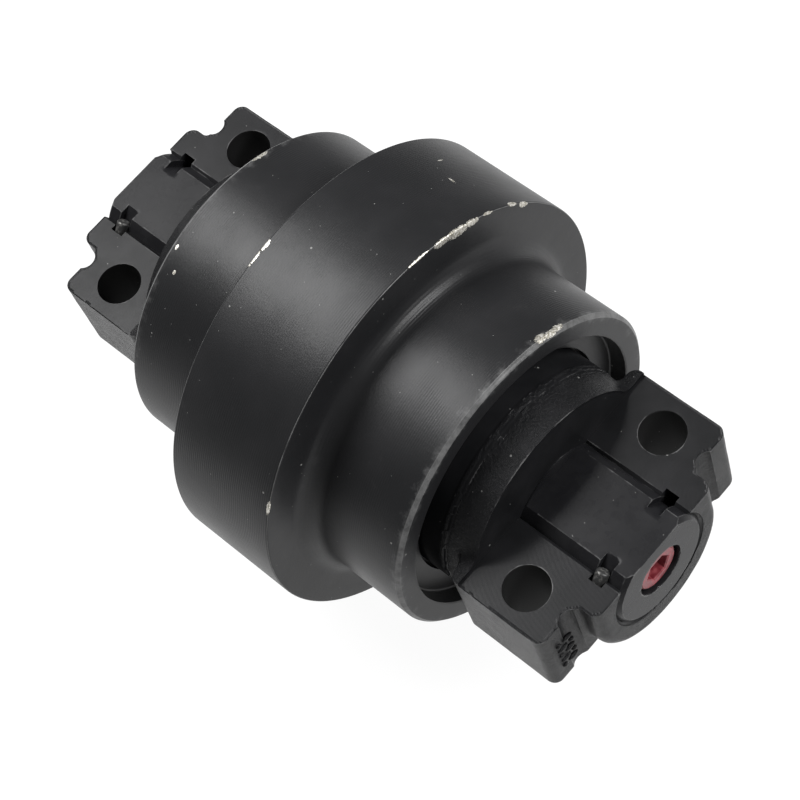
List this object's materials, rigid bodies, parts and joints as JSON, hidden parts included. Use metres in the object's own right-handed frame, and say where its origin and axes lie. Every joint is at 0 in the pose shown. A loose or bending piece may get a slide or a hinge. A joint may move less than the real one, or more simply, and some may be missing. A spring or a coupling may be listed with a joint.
{
  "type": "track roller",
  "caption": "Lubricated track roller with a centre flange and two treads, turning on a fixed shaft held by bolt-on end collars.",
  "frame": {"origin": "centre of the roller, on the axis it turns about", "axes": "+Y along the shaft towards the oil plug (outer end), +Z towards the track frame that the ears bolt up to, +X completes the frame"},
  "size_m": [0.1726, 0.264, 0.1726],
  "materials": {
    "shell_paint": "satin black paint over turned steel",
    "collar_paint": "satin black paint over rough casting with milled ears",
    "shaft_paint": "satin black paint over ground steel",
    "bush_bronze": "machined bronze",
    "seal_steel": "lapped steel",
    "seal_rubber": "matt rubber",
    "rod_steel": "black paint over steel rod",
    "plug_red": "dark red coated steel"
  },
  "bodies": {
    "mounting": {"shaft": "shaft_paint", "outer_collar": "collar_paint", "inner_collar": "collar_paint", "outer_fixed_seal_ring": "seal_steel", "inner_fixed_seal_ring": "seal_steel", "outer_fixed_toric_ring": "seal_rubber", "inner_fixed_toric_ring": "seal_rubber", "outer_shaft_o_ring": "seal_rubber", "inner_shaft_o_ring": "seal_rubber", "outer_lock_rod": "rod_steel", "inner_lock_rod": "rod_steel", "oil_plug": "plug_red", "oil_plug_o_ring": "seal_rubber"},
    "roller": {"roller_shell": "shell_paint", "outer_bush": "bush_bronze", "inner_bush": "bush_bronze", "outer_rotating_seal_ring": "seal_steel", "inner_rotating_seal_ring": "seal_steel", "outer_rotating_toric_ring": "seal_rubber", "inner_rotating_toric_ring": "seal_rubber"}
  },
  "joints": [
    {"name": "roller_spin", "type": "hinge", "parent": "mounting", "child": "roller", "pos_m": [0, 0, 0], "axis": [0, 1, 0], "continuous": true}
  ]
}
